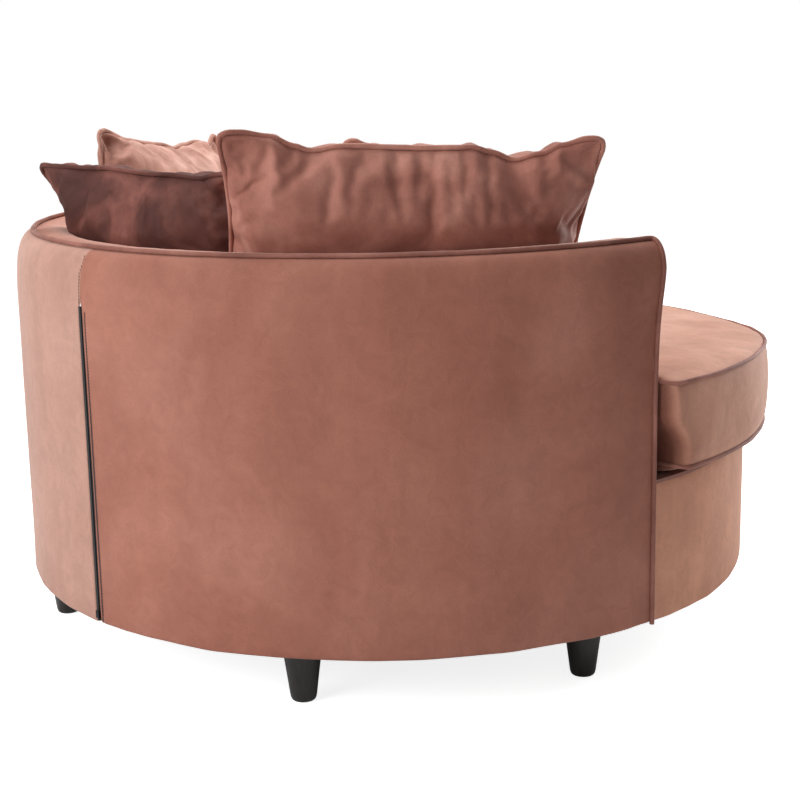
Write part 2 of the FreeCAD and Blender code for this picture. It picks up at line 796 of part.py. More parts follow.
def flat_sided_prism(span, half_thick, length):
    """An eight-sided section that stays inside the crowned one of the same span."""
    half = span / 2
    side = [(-0.82 * half, 0.2 * half_thick), (-0.4 * half, 0.7 * half_thick)]
    upper = side + [(-across, up) for across, up in reversed(side)]
    ring = upper + [(across, -up) for across, up in reversed(upper)]
    points = [Vector(across, up, -length / 2) for across, up in ring]
    return Part.Face(Part.makePolygon(points + points[:1])).extrude(Vector(0, 0, length))


def pillow_core(width, tall, thick):
    """The fibre filling, as a plain pad inside the cover and its loft."""
    across = flat_sided_prism(width, thick / 2, tall)
    upright = flat_sided_prism(tall, thick / 2, width)
    upright.rotate(Vector(0, 0, 0), Vector(0, 1, 0), 90)
    return across.common(upright)


def stand(shape, spec):
    """Turns a pillow and puts its lowest corner on the seat cushion."""
    facing = Rotation(Vector(0, 0, 1), spec["faces"])
    tilt = Rotation(Vector(1, 0, 0), -spec["lean"])
    roll = Rotation(Vector(0, 1, 0), -spec["roll"])
    scale = amount("Sizes.pillow_scale")
    top_out = amount("Sizes.inner_radius") - scale * spec["off"]
    middle_out = top_out - scale * spec["tall"] / 2 * math.sin(math.radians(spec["lean"]))
    spot = facing.multVec(Vector(-scale * spec["along"], middle_out, 0))
    spot.y += amount("Sizes.axis_setback")
    shape.Placement = Placement(spot, facing.multiply(tilt).multiply(roll))
    spot.z = amount(f"{CUSHION_TOP} + Sizes.soft_gap") - shape.optimalBoundingBox().ZMin
    return Placement(spot, shape.Placement.Rotation)


def pillow(name, spec):
    scale = amount("Sizes.pillow_scale")
    width, tall, thick = scale * spec["width"], scale * spec["tall"], scale * spec["thick"]
    form = pillow_form(width, tall, thick)
    core = pillow_core(width, tall, thick)
    standing = stand(form.copy(), spec)
    for label, shape in ((f"{name}_cover", form.cut(core)), (f"{name}_filling", core)):
        piece = keep(doc.addObject("Part::Feature", label), label)
        piece.Shape = shape
        piece.Placement = standing


for foot_name, foot_turn in FOOT_TURNS.items():
    foot(foot_name, foot_turn)
foot_plates()
base_ring()
base_rail("base_rail_back", 0)
base_rail("base_rail_front", 180)
posts()
rim_ring()
deck_ring()
curved_boards()
webbing("webbing_along", "Sizes.deck_height", 90)
webbing("webbing_across", "Sizes.deck_height + Sizes.webbing", 0)
deck_pad()
inner_foam()
outer_wadding()
front_wadding()
inner_cover()
outside_back("outside_back_left", -1)
outside_back("outside_back_right", 1)
front_cover()
arm_front("left", -1)
arm_front("right", 1)
rim_piping()
arm_piping("left", -1)
arm_piping("right", 1)
dust_cloth()
zip_side("zip_side_left", -1)
zip_side("zip_side_right", 1)
zip_slider()
seat_cushion()
for pillow_name, pillow_spec in PILLOWS.items():
    pillow(pillow_name, pillow_spec)
doc.recompute()

for item in doc.Objects:
    if {"Invalid", "Error"} & set(item.State):
        raise SystemExit(f"{item.Label} is {item.State}")
for piece in nodes:
    if piece.Shape.isNull() or not piece.Shape.isValid():
        raise SystemExit(f"{piece.Label} has no valid shape")
for piece in nodes:
    piece.Shape.exportStep(f"parts/{piece.Label}.step")
print(len(nodes), "parts written")
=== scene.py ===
import math

import bpy
from mathutils import Matrix, Vector, noise


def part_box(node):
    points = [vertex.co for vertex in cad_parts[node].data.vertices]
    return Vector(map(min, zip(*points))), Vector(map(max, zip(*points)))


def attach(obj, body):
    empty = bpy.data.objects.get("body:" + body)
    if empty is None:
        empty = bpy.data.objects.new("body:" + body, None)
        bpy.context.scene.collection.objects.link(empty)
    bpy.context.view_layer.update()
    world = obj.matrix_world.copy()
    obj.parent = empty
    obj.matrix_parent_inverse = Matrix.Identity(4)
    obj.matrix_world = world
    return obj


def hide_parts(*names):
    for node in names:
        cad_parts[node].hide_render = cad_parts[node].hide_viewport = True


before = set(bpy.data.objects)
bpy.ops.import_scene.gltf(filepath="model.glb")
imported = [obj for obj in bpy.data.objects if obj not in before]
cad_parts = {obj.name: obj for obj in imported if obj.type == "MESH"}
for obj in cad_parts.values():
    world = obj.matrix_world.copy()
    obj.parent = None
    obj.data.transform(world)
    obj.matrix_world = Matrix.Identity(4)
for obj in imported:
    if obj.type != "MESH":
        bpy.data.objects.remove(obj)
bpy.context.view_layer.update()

# Lengths of the chair in metres, as its solids have them
SETBACK = 0.0195
HEM = 0.1008
BASE_RADIUS = 0.620
SLIT_TOP = 0.589
RIM_RADIUS = 0.588
RIM_HEIGHT = 0.671
CORD = 0.0038
SEAT_CORD = 0.0032
THREAD_RADIUS = 0.00045
HALF_WRAP = 84.0
ARM_DEPTH = 0.0156
SEAT_LOW = 0.317
SEAT_TOP = 0.480
SEAT_RADIUS = 0.650
SEAT_REAR = 0.502
SEAT_SEAM_LOW = 0.335
SEAT_SEAM_HIGH = 0.467
SEAT_BELLY = 0.009
SEAT_NOTCH_TURN = 86.5
INSIDE_RADIUS = 0.505
ARM_FOOT = 0.3166
ARM_OUTER_RADIUS = 0.6188
ARM_PULL_TURN = 9


def chair_point(turn, radius, height):
    """A point on the chair, with its turn in degrees from the back centre towards the right arm."""
    angle = math.radians(turn)
    return Vector((-radius * math.sin(angle), SETBACK + radius * math.cos(angle), height))


def ripple(seed, across, up=0.0):
    """Smooth noise from -1 to 1, the same on every run."""
    return noise.noise(Vector((across, up, seed * 7.31)))


def blend_in(amount):
    amount = min(max(amount, 0.0), 1.0)
    return amount * amount * (3 - 2 * amount)


def along_table(table, place):
    """Smooth value at place in a table of (place, value) pairs in rising order."""
    if place <= table[0][0]:
        return table[0][1]
    for (low, before), (high, after) in zip(table, table[1:]):
        if place <= high:
            return before + (after - before) * blend_in((place - low) / (high - low))
    return table[-1][1]


# Materials
def link(tree, source, target):
    tree.links.new(source, target)


def mapped(tree, stretch):
    place = tree.nodes.new("ShaderNodeTexCoord")
    mapping = tree.nodes.new("ShaderNodeMapping")
    mapping.inputs["Scale"].default_value = stretch
    link(tree, place.outputs["Object"], mapping.inputs["Vector"])
    return mapping.outputs["Vector"]


def noise_node(tree, scale, detail=4.0, roughness=0.55, distortion=0.0, stretch=(1, 1, 1)):
    node = tree.nodes.new("ShaderNodeTexNoise")
    node.inputs["Scale"].default_value = scale
    node.inputs["Detail"].default_value = detail
    node.inputs["Roughness"].default_value = roughness
    node.inputs["Distortion"].default_value = distortion
    link(tree, mapped(tree, stretch), node.inputs["Vector"])
    return node.outputs["Fac"]


def colour_ramp(tree, source, stops):
    ramp = tree.nodes.new("ShaderNodeValToRGB")
    while len(ramp.color_ramp.elements) < len(stops):
        ramp.color_ramp.elements.new(0.5)
    for element, (place, colour) in zip(ramp.color_ramp.elements, stops):
        element.position = place
        element.color = (*colour, 1)
    link(tree, source, ramp.inputs["Fac"])
    return ramp.outputs["Color"]


def grey_ramp(tree, source, low, high, dark=0.0, light=1.0):
    return colour_ramp(tree, source, [(low, (dark,) * 3), (high, (light,) * 3)])


def mixed(tree, factor, first, second, kind="MIX"):
    node = tree.nodes.new("ShaderNodeMix")
    node.data_type = "RGBA"
    node.blend_type = kind
    for socket, value in ((node.inputs[0], factor), (node.inputs[6], first), (node.inputs[7], second)):
        if isinstance(value, bpy.types.NodeSocket):
            link(tree, value, socket)
        elif isinstance(value, tuple):
            socket.default_value = (*value, 1)
        else:
            socket.default_value = value
    return node.outputs[2]


def bump(tree, height, strength, distance, under=None):
    node = tree.nodes.new("ShaderNodeBump")
    node.inputs["Strength"].default_value = strength
    node.inputs["Distance"].default_value = distance
    link(tree, height, node.inputs["Height"])
    if under is not None:
        link(tree, under, node.inputs["Normal"])
    return node.outputs["Normal"]


def new_material(name, roughness):
    material = bpy.data.materials.new(name)
    material.use_nodes = True
    tree = material.node_tree
    shader = tree.nodes["Principled BSDF"]
    shader.inputs["Roughness"].default_value = roughness
    return material, tree, shader


def velvet(name, dark, middle, light, patch=3.2, sheen=0.4, tint=(1.0, 0.8, 0.73)):
    """Brushed pile: broad soft patches where the pile lies one way or the other, streaks and fine grain."""
    material, tree, shader = new_material(name, 0.72)
    patches = noise_node(tree, patch, 5.0, 0.5, 0.7)
    streaks = noise_node(tree, 11.0, 5.0, 0.6, 0.4, (1.0, 1.0, 0.25))
    strokes = noise_node(tree, 34.0, 4.0, 0.6, 1.2)
    grain = noise_node(tree, 620.0, 2.0, 0.6)
    ground = colour_ramp(tree, patches, [(0.36, dark), (0.5, middle), (0.66, light)])
    ground = mixed(tree, 0.3, ground, grey_ramp(tree, streaks, 0.35, 0.65, 0.75, 1.2), "MULTIPLY")
    ground = mixed(tree, 0.25, ground, grey_ramp(tree, strokes, 0.35, 0.65, 0.75, 1.2), "MULTIPLY")
    ground = mixed(tree, 0.3, ground, grey_ramp(tree, grain, 0.3, 0.7, 0.65, 1.25), "MULTIPLY")
    link(tree, ground, shader.inputs["Base Color"])
    shader.inputs["Specular IOR Level"].default_value = 0.25
    shader.inputs["Sheen Weight"].default_value = sheen
    shader.inputs["Sheen Roughness"].default_value = 0.3
    shader.inputs["Sheen Tint"].default_value = (*tint, 1)
    rough = bump(tree, strokes, 0.22, 0.004)
    link(tree, bump(tree, grain, 0.28, 0.0006, rough), shader.inputs["Normal"])
    return material


def plain_cloth(name, dark, light, scale, roughness=0.9):
    """A dull woven or felted cloth with crossed threads."""
    material, tree, shader = new_material(name, roughness)
    threads = noise_node(tree, scale, 3.0, 0.6, 0.0, (1.0, 1.0, 3.0))
    crossing = noise_node(tree, scale, 3.0, 0.6, 0.0, (3.0, 3.0, 1.0))
    weave = mixed(tree, 0.5, threads, crossing)
    link(tree, colour_ramp(tree, weave, [(0.35, dark), (0.65, light)]), shader.inputs["Base Color"])
    link(tree, bump(tree, weave, 0.4, 0.0008), shader.inputs["Normal"])
    return material


def timber(name, dark, light, roughness, grain_scale=14.0):
    material, tree, shader = new_material(name, roughness)
    grain = noise_node(tree, grain_scale, 8.0, 0.62, 1.4, (6.0, 6.0, 1.0))
    link(tree, colour_ramp(tree, grain, [(0.35, dark), (0.68, light)]), shader.inputs["Base Color"])
    link(tree, bump(tree, grain, 0.12, 0.001), shader.inputs["Normal"])
    return material


def metal(name, colour, roughness):
    material, tree, shader = new_material(name, roughness)
    wear = noise_node(tree, 90.0, 5.0, 0.6)
    link(tree, mixed(tree, 0.35, colour, grey_ramp(tree, wear, 0.3, 0.7, 0.5, 1.0), "MULTIPLY"),
         shader.inputs["Base Color"])
    shader.inputs["Metallic"].default_value = 1.0
    link(tree, bump(tree, wear, 0.15, 0.0004), shader.inputs["Normal"])
    return material


def shaded_by(material, name):
    """Darkens a material by the painted shade that each point of its mesh carries."""
    tree = material.node_tree
    base = tree.nodes["Principled BSDF"].inputs["Base Color"]
    ground = base.links[0].from_socket
    shade = tree.nodes.new("ShaderNodeAttribute")
    shade.attribute_name = name
    link(tree, mixed(tree, 1.0, ground, shade.outputs["Color"], "MULTIPLY"), base)


WARM = (1.0, 0.74, 0.62)
SHELL_VELVET = velvet(
    "shell_velvet", (0.295, 0.11, 0.075), (0.33, 0.13, 0.09), (0.37, 0.155, 0.111), sheen=0.36, tint=WARM)
# The outer halves are lit and shaded copies of one velvet: this lighter, paler copy for the left half is
# painted light for the side facing the key lamp
LIT_SIDE_VELVET = velvet("lit_side_velvet", (0.41, 0.22, 0.17), (0.45, 0.25, 0.195), (0.49, 0.28, 0.223))
# The inside cover and the arm ends share a lighter copy of the same velvet: painted light, as bright as the
# rolled top that the overhead lamp lights
LIT_INSIDE_VELVET = velvet("lit_inside_velvet", (0.42, 0.178, 0.126), (0.46, 0.2, 0.142), (0.5, 0.226, 0.164))
# The apron gets a lighter copy of the same velvet: painted light for the front that the lamp on the far
# right lights
LIT_APRON_VELVET = velvet(
    "lit_apron_velvet", (0.48, 0.222, 0.14), (0.54, 0.258, 0.165), (0.59, 0.293, 0.19), sheen=0.15, tint=WARM)
SEAT_VELVET = velvet(
    "seat_velvet", (0.45, 0.212, 0.143), (0.52, 0.265, 0.186), (0.6, 0.33, 0.245), 4.5, 0.35, WARM)
DARK_VELVET = velvet("pillow_velvet", (0.24, 0.086, 0.063), (0.345, 0.138, 0.103), (0.5, 0.236, 0.182), 7.0)
DUSK_VELVET = velvet(
    "dusk_pillow_velvet", (0.052, 0.0162, 0.0124), (0.1, 0.0325, 0.0255), (0.24, 0.088, 0.068), 9.0, 0.09)
LIGHT_VELVET = velvet(
    "light_pillow_velvet", (0.33, 0.147, 0.108), (0.49, 0.253, 0.195), (0.68, 0.4, 0.325), 14.0)
CORD_VELVET = velvet("cord_velvet", (0.2, 0.076, 0.056), (0.26, 0.104, 0.078), (0.33, 0.142, 0.108), 12.0)
# The seat velvet is darkened by painted shade that the cushion's mesh carries per point
shaded_by(SEAT_VELVET, "painted_shade")
THREAD = plain_cloth("thread", (0.09, 0.03, 0.024), (0.17, 0.06, 0.05), 900.0)
ZIP_TAPE = plain_cloth("zip_tape", (0.006, 0.006, 0.007), (0.02, 0.02, 0.022), 1100.0, 0.7)
DUST_CLOTH = plain_cloth("dust_cloth", (0.008, 0.008, 0.009), (0.025, 0.025, 0.027), 500.0)
DECK_CLOTH = plain_cloth("deck_cloth", (0.2, 0.09, 0.07), (0.28, 0.13, 0.1), 400.0)
WEBBING = plain_cloth("webbing", (0.015, 0.015, 0.016), (0.06, 0.06, 0.06), 350.0)
FIBRE = plain_cloth("fibre", (0.75, 0.75, 0.73), (0.9, 0.9, 0.88), 160.0)
FRAME_WOOD = timber("frame_wood", (0.35, 0.22, 0.11), (0.6, 0.43, 0.25), 0.6)
BOARD = timber("board", (0.16, 0.09, 0.05), (0.26, 0.16, 0.09), 0.7, 60.0)
FOOT_WOOD = timber("foot_wood", (0.009, 0.007, 0.006), (0.022, 0.017, 0.014), 0.33, 26.0)
FOOT_WOOD.node_tree.nodes["Principled BSDF"].inputs["Coat Weight"].default_value = 0.25
PLATE_STEEL = metal("plate_steel", (0.5, 0.5, 0.51), 0.35)
SLIDER_METAL = metal("slider_metal", (0.03, 0.03, 0.033), 0.4)


# Meshes
def smoothed(piece, levels):
    smoother = piece.modifiers.new("smooth", "SUBSURF")
    smoother.levels = levels
    smoother.render_levels = levels


def mesh_piece(name, points, faces, material, levels=0):
    mesh = bpy.data.meshes.new(name)
    mesh.from_pydata([tuple(point) for point in points], [], faces)
    mesh.materials.append(material)
    for face in mesh.polygons:
        face.use_smooth = True
    mesh.update()
    piece = bpy.data.objects.new(name, mesh)
    bpy.context.scene.collection.objects.link(piece)
    if levels:
        smoothed(piece, levels)
    return piece


def grid_faces(rows, columns, closed=False, flipped=False):
    """Quads between rows of points, with the last column joined to the first if closed."""
    faces = []
    for row in range(rows - 1):
        for column in range(columns if closed else columns - 1):
            after = (column + 1) % columns
            face = (
                row * columns + column,
                row * columns + after,
                (row + 1) * columns + after,
                (row + 1) * columns + column,
            )
            faces.append(face[::-1] if flipped else face)
    return faces


def cap(points, faces, ring, count, centre, flipped=False):
    """Closes a ring of points with a fan of faces round its centre."""
    points.append(centre)
    for column in range(count):
        face = (ring * count + column, ring * count + (column + 1) % count, len(points) - 1)
        faces.append(face[::-1] if flipped else face)


def skin(name, rows, material, closed=False, flipped=False):
    """A surface through rows of points."""
    points = [point for row in rows for point in row]
    faces = grid_faces(len(rows), len(rows[0]), closed, flipped)
    return mesh_piece(name, points, faces, material, 1)


def round_curve(name, radius, roundness, material):
    """A curve of round section, still without its lines."""
    curve = bpy.data.curves.new(name, "CURVE")
    curve.dimensions = "3D"
    curve.bevel_depth = radius
    curve.bevel_resolution = roundness
    curve.use_fill_caps = True
    curve.materials.append(material)
    piece = bpy.data.objects.new(name, curve)
    bpy.context.scene.collection.objects.link(piece)
    return piece


def tube(name, path, radius, material, closed=False):
    """A round cord that follows a path of points."""
    piece = round_curve(name, radius, 3, material)
    line = piece.data.splines.new("POLY")
    line.points.add(len(path) - 1)
    for point, place in zip(line.points, path):
        point.co = (*place, 1)
    line.use_cyclic_u = closed
    line.use_smooth = True
    return piece


def stitches(name, pairs, material):
    """Short straight threads, one for each pair of end points."""
    piece = round_curve(name, THREAD_RADIUS, 1, material)
    for start, end in pairs:
        line = piece.data.splines.new("POLY")
        line.points.add(1)
        line.points[0].co = (*start, 1)
        line.points[1].co = (*end, 1)
    return piece


def arc_turns(start, end, step):
    count = max(2, round(abs(end - start) / step))
    return [start + (end - start) * number / count for number in range(count + 1)]


ARM_REACH = [(0.5, 0.0), (0.56, 0.006), (0.61, 0.015), (0.645, 0.024), (0.68, 0.026)]


def arm_reach(height, radius=BASE_RADIUS):
    """How far an arm's front pokes forward of its lower part: the outer corner at the rim is pulled out."""
    return along_table(ARM_REACH, height) * blend_in((radius - 0.5) / 0.088)


def arm_forward(way):
    return chair_point(way * (HALF_WRAP + 90), 1.0, 0) - chair_point(0, 0, 0)


# Outside cover: two halves that meet at the zip
HEM_FOLD = [(0.6, 0.0012), (0.612, 0.0002), (0.6178, 0.001), (0.6198, 0.0042)]
STRAIGHT_LIFTS = (0.012, 0.03, 0.06, 0.1, 0.15, 0.2, 0.25, 0.3, 0.35, 0.4, 0.44)
SHOULDER = [
    (0.6199, 0.47), (0.6196, 0.484), (0.6195, 0.487), (0.6192, 0.4927), (0.6182, 0.51), (0.6163, 0.53),
    (0.6128, 0.545), (0.608, 0.5567), (0.6015, 0.5652), (0.5945, 0.5692), (0.589, 0.57),
]
OUTSIDE = HEM_FOLD + [(BASE_RADIUS, lift) for lift in STRAIGHT_LIFTS] + SHOULDER


def outside_point(turn, radius, lift):
    """A point of the outside cover, with the gentle waves of cloth over wadding and an uneven hem."""
    height = HEM + lift
    low = 1 - blend_in(lift / 0.06)
    wave = 0.0011 * ripple(1, turn * 0.07, height * 4.5) + 0.0005 * ripple(2, turn * 0.3, height * 13)
    wave += low * 0.0016 * ripple(3, turn * 0.32, height * 5)
    side = blend_in((abs(turn) - 70) / 25)
    drop = low * (0.0026 * ripple(4, turn * 0.11) - 0.0036 - 0.0036 * side)
    arm_edge = HALF_WRAP + 1.44
    end = math.exp(-((arm_edge - abs(turn)) / 3.5) ** 2)
    pucker = blend_in((height - 0.52) / 0.06) + 0.35
    wave += end * pucker * 0.0011 * ripple(5, turn * 0.5, height * 95)
    top = blend_in((lift - 0.5) / 0.05)
    return chair_point(turn, radius + wave * (1 - top), height + drop)


SLIT_HALF_WIDTH = 0.004
SLIT_SPREAD = 0.0007


def slit_half_width(height):
    """The zip stands open a little more at the hem, and is sewn shut above its top end."""
    share = (SLIT_TOP - height) / (SLIT_TOP - HEM)
    closing = blend_in((SLIT_TOP + 0.004 - height) / 0.005)
    return (SLIT_HALF_WIDTH + SLIT_SPREAD * max(0.0, share)) * closing


LEFT_EDGE = [(0.0, -0.0042), (0.0006, -0.0014), (0.0017, -0.0002), (0.004, 0.0004), (0.008, 0.0)]
RIGHT_EDGE = [
    (0.0, -0.004), (0.0005, -0.0018), (0.0016, -0.0004), (0.0034, -0.0007), (0.0046, -0.0028),
    (0.0062, -0.0034), (0.0076, -0.0008), (0.0092, 0.0004), (0.013, 0.0),
]


def outside_half(name, way, edge, node, material):
    end = HALF_WRAP + math.degrees(ARM_DEPTH / BASE_RADIUS)
    shares = arc_turns(0, 0.9, 0.015)[1:] + arc_turns(0.9, 1, 0.006)[1:]
    rows = []
    for radius, lift in OUTSIDE:
        height = HEM + lift
        opening = slit_half_width(height)
        sewn = blend_in((height - SLIT_TOP + 0.02) / 0.03)
        row = []
        for across, sink in edge:
            sink = sink * (1 - sewn) + (-0.0007 * sewn if across < 0.001 else 0.0)
            turn = way * math.degrees((opening + across) / BASE_RADIUS)
            row.append(outside_point(turn, radius + sink, lift))
        last = math.degrees((opening + edge[-1][0]) / BASE_RADIUS)
        for share in shares:
            turn = last + (end - last) * share
            near = blend_in((turn - end + ARM_PULL_TURN) / ARM_PULL_TURN)
            pulled = arm_forward(way) * arm_reach(height) * near
            row.append(outside_point(way * turn, radius, lift) + pulled)
        rows.append(row)
    piece = skin(name, rows, material, flipped=way < 0)
    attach(piece, "chair")
    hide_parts(node)


def zip_stitches():
    """Topstitching beside the slit and the row that closes the seam above it."""
    pairs = []
    pitch, long = 0.0048, 0.003
    above_slit, beside_slit = 15, 98
    to_slit = 0.0098
    for number in range(above_slit):
        height = SLIT_TOP + 0.004 + number * pitch
        lean = 0.35 * max(0.0, height - 0.635) / 0.03
        turn = -0.15 + lean
        radius = along_table([(0.589, 0.6197), (0.612, 0.6186), (0.632, 0.6165), (0.66, 0.607)], height)
        pairs.append((chair_point(turn, radius, height), chair_point(turn, radius, height + long)))
    for number in range(beside_slit):
        height = HEM + 0.012 + number * pitch
        turn = math.degrees((slit_half_width(height) + to_slit) / BASE_RADIUS)
        radius = BASE_RADIUS + 0.0004
        pairs.append((chair_point(turn, radius, height), chair_point(turn, radius, height + long)))
    piece = stitches("zip_stitches", pairs, THREAD)
    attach(piece, "chair")


# Front apron under the seat cushion
def apron():
    profile = HEM_FOLD + [(BASE_RADIUS, lift) for lift in (0.012, 0.03, 0.06, 0.1, 0.14, 0.18)]
    profile += [(0.6199, 0.2), (0.619, 0.211), (0.615, 0.2155)]
    past_arm = 1.8
    turns = arc_turns(HALF_WRAP + past_arm, 360 - HALF_WRAP - past_arm, 1.5)
    rows = [[outside_point(turn, radius, lift) for turn in turns] for radius, lift in profile]
    piece = skin("apron", rows, LIT_APRON_VELVET)
    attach(piece, "chair")
    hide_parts("front_cover")


# Inside cover, which rolls over the top of the wall
INSIDE = [(INSIDE_RADIUS, height) for height in (0.3168, 0.36, 0.42, 0.48, 0.53)]
INSIDE += [
    (0.5048, 0.575), (INSIDE_RADIUS, 0.605), (0.5062, 0.628), (0.5092, 0.6435), (0.515, 0.656),
    (0.5235, 0.6652), (0.5345, 0.6705), (0.547, 0.6728), (0.56, 0.6732), (0.572, 0.6725),
    (0.581, 0.6712), (0.5862, 0.6702),
]


def inside_point(turn, radius, height):
    upper = blend_in((height - 0.5) / 0.12)
    pull = 0.0008 + 0.0008 * ripple(6, turn * 0.55, height * 3) * upper
    pull += 0.0006 * ripple(7, turn * 0.1, height * 6)
    angle = blend_in((height - 0.61) / 0.06)
    point = chair_point(turn, radius - pull * (1 - angle), height + pull * angle)
    near = blend_in((abs(turn) - HALF_WRAP + ARM_PULL_TURN) / ARM_PULL_TURN)
    return point + arm_forward(1 if turn > 0 else -1) * arm_reach(height, radius) * near


def inside_cover():
    turns = arc_turns(-HALF_WRAP, HALF_WRAP, 1.3)
    rows = [[inside_point(turn, radius, height) for turn in turns] for radius, height in INSIDE]
    piece = skin("inside_cover", rows, LIT_INSIDE_VELVET, flipped=True)
    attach(piece, "chair")
    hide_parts("inner_cover", "inner_foam")


def arm_front(side, way):
    """The padded end of an arm, with its edges rounded over and its corner folded into a mitre."""
    outline = [(0.5065, ARM_FOOT), (INSIDE_RADIUS, ARM_FOOT), (INSIDE_RADIUS, 0.3185)] + INSIDE[1:-1]
    outline += [(0.5895, 0.6702), (0.5975, 0.6665), (0.6045, 0.66), (0.61, 0.6505), (0.6143, 0.638)]
    outline += [(0.6168, 0.618), (0.6184, 0.59)]
    outline += [(ARM_OUTER_RADIUS, height) for height in (0.55, 0.48, 0.42, 0.36, 0.3185, ARM_FOOT)]
    outline += [(0.6173, ARM_FOOT)]
    middle = (0.562, 0.5)
    bulge, top_fullness = 1.25, 0.28
    levels = [(0.0, 0.0), (0.0, 0.35), (0.012, 0.7), (0.05, 0.93), (0.16, 1.02), (0.4, 1.1), (0.75, 1.13)]
    rows = []
    for shrink, depth in levels:
        row = []
        for radius, height in outline:
            inner = radius + (middle[0] - radius) * shrink
            level = height + (middle[1] - height) * shrink * (1.0 if height > 0.4 else 0.25)
            point = chair_point(way * HALF_WRAP, inner, level)
            crease = 0.0008 * ripple(9 + way, inner * 40, level * 22) * (depth > 0.5)
            plump = 1 + top_fullness * blend_in(shrink / 0.03) * blend_in((level - 0.47) / 0.06)
            forward = ARM_DEPTH * depth * plump + crease + arm_reach(level, radius)
            row.append(point + arm_forward(way) * forward)
        rows.append(row)
    points = [point for row in rows for point in row]
    faces = grid_faces(len(rows), len(outline), closed=True, flipped=way < 0)
    centre = chair_point(way * HALF_WRAP, middle[0], 0.45) + arm_forward(way) * ARM_DEPTH * bulge
    cap(points, faces, len(rows) - 1, len(outline), centre, way < 0)
    piece = mesh_piece(f"arm_front_{side}", points, faces, LIT_INSIDE_VELVET, 1)
    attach(piece, "chair")
    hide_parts(f"arm_front_cover_{side}", f"arm_front_pad_{side}")


# Piping: one cord up the left arm, round the rim and down the right arm
ARM_LINE = [
    (0.6215, HEM - 0.006), (0.6218, 0.16), (0.6218, 0.25), (0.6218, 0.35), (0.6216, 0.45), (0.6212, 0.53),
    (0.6205, 0.575), (0.6192, 0.605), (0.617, 0.63),
]
CORNER_LINE = [(0.6142, 0.6405), (0.6112, 0.652), (0.6065, 0.6615), (0.6, 0.6685), (0.594, 0.6722)]


def arm_line(way):
    """The cord's line up an arm's edge and over its rounded corner."""
    points = []
    for radius, height in ARM_LINE:
        shift = 0.0008 * ripple(11 + way, height * 11)
        point = chair_point(way * HALF_WRAP, radius + shift, height)
        points.append(point + arm_forward(way) * (ARM_DEPTH + 0.0028 + arm_reach(height)))
    for radius, height in CORNER_LINE:
        reach = ARM_DEPTH + 0.0022 + arm_reach(height)
        points.append(chair_point(way * HALF_WRAP, radius, height) + arm_forward(way) * reach)
    return points


def rounded_path(points, passes=2):
    """Corners cut twice, so that a cord bends smoothly."""
    for _ in range(passes):
        cut = [points[0]]
        for first, second in zip(points, points[1:]):
            cut += [first.lerp(second, 0.25), first.lerp(second, 0.75)]
        points = cut + [points[-1]]
    return points


def shell_piping():
    rim = []
    end = HALF_WRAP + 2.1
    for turn in arc_turns(-end, end, 2.0):
        way = 1 if turn > 0 else -1
        near = blend_in((abs(turn) - end + 8) / 8)
        shift = 0.0006 * ripple(13, turn * 0.2)
        point = chair_point(turn, RIM_RADIUS + shift, RIM_HEIGHT + 0.0032 + 0.0007 * ripple(14, turn * 0.16))
        rim.append(point + arm_forward(way) * 0.0205 * near)
    path = arm_line(-1) + rim + arm_line(1)[::-1]
    piece = tube("shell_piping", rounded_path(path), CORD, CORD_VELVET)
    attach(piece, "chair")
    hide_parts("rim_piping", "arm_piping_left", "arm_piping_right")


# Feet
def foot(node):
    low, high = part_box(node)
    centre = (low + high) / 2
    profile = [
        (0.0, 0.0), (0.011, 0.0), (0.0152, 0.0004), (0.0178, 0.0018), (0.0193, 0.0045), (0.0204, 0.01),
        (0.0228, 0.03), (0.0268, 0.06), (0.0308, 0.088), (0.0324, 0.0995), (0.0, 0.1),
    ]
    sides = 48
    rows = []
    for radius, height in profile:
        row = []
        for side in range(sides):
            angle = 2 * math.pi * side / sides
            across, along = radius * math.cos(angle), radius * math.sin(angle)
            row.append(Vector((centre.x + across, centre.y + along, height)))
        rows.append(row)
    piece = skin(f"turned_{node}", rows, FOOT_WOOD, closed=True)
    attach(piece, "chair")
    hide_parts(node)


# Seat cushion
def seat_outline():
    """The cushion's seam line in plan, as (turn, radius) pairs once round."""
    corner = [(85.75, SEAT_REAR), (86.15, 0.5035), (86.38, 0.5075), (86.48, 0.515)]
    corner += [(SEAT_NOTCH_TURN, radius) for radius in (0.53, 0.555, 0.58, 0.603)]
    corner += [(86.54, 0.63), (86.62, 0.64), (86.8, 0.6466), (87.1, 0.6493)]
    corner += [(87.6, SEAT_RADIUS), (88.6, SEAT_RADIUS)]
    right = [(turn, SEAT_REAR) for turn in arc_turns(0, 85.2, 2.0)] + corner
    right += [(turn, SEAT_RADIUS) for turn in arc_turns(89.8, 180, 2.0)]
    left = [(-turn, radius) for turn, radius in right[1:-1]]
    return right + left[::-1]


SEAT_LEVELS = [
    (0.2, SEAT_LOW), (0.09, 0.3174), (0.055, 0.3205), (0.028, 0.3262), (0.01, 0.3322), (0.0, SEAT_SEAM_LOW),
    (-0.005, 0.343), (-0.0075, 0.362), (-0.0088, 0.384), (-SEAT_BELLY, 0.405), (-0.0082, 0.427),
    (-0.0066, 0.446), (-0.004, 0.46), (0.0, SEAT_SEAM_HIGH), (0.006, 0.4705), (0.018, 0.4735),
    (0.038, 0.4762), (0.07, 0.4785), (0.11, 0.4797), (0.18, SEAT_TOP), (0.3, SEAT_TOP), (0.44, SEAT_TOP),
]
FRONT_DROOP = 0.018


def seat_droop(turn, inset, height):
    """How far the cushion's loaded front edge hangs down: most at the seam, nothing at the underside."""
    front = blend_in((abs(turn) - 114) / 44)
    inwards = along_table([(0.0, 1.0), (0.05, 0.82), (0.15, 0.45), (0.4, 0.0)], max(inset, 0.0))
    risen = blend_in((height - SEAT_SEAM_LOW) / (SEAT_SEAM_HIGH - SEAT_SEAM_LOW))
    return FRONT_DROOP * front * inwards * risen


